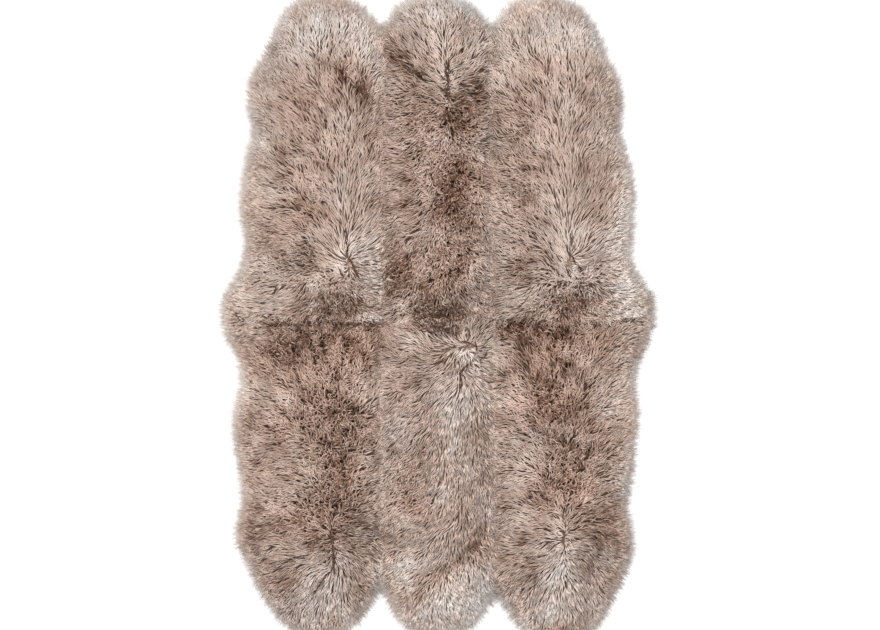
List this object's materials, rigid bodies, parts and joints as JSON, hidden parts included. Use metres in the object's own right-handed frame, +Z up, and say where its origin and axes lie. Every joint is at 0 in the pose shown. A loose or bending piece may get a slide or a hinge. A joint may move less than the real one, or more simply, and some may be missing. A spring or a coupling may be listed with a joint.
{
  "type": "merino sheepskin rug",
  "caption": "Flat rug of merino sheepskins sewn edge to edge, with deep combed wool, rounded skin ends and a wavy outline of wool locks.",
  "frame": {"origin": "middle of the rug's box, at the underside that lies on the floor", "axes": "+X across the rug, +Y along it towards the upper row of skins, +Z up through the wool"},
  "size_m": [1.1892, 1.8048, 0.0583],
  "materials": {
    "fleece_light": "long soft merino wool, pinkish grey-beige, matt with a faint sheen",
    "fleece_dark": "long soft merino wool, taupe, curlier and darker along the backs",
    "pelt": "tanned suede pelt side, pale, matt"
  },
  "bodies": {
    "root": {"skin_top_left": "fleece_light", "skin_top_middle": "fleece_dark", "skin_top_right": "fleece_light", "skin_bottom_left": "fleece_dark", "skin_bottom_middle": "fleece_light", "skin_bottom_right": "fleece_dark"}
  },
  "joints": []
}
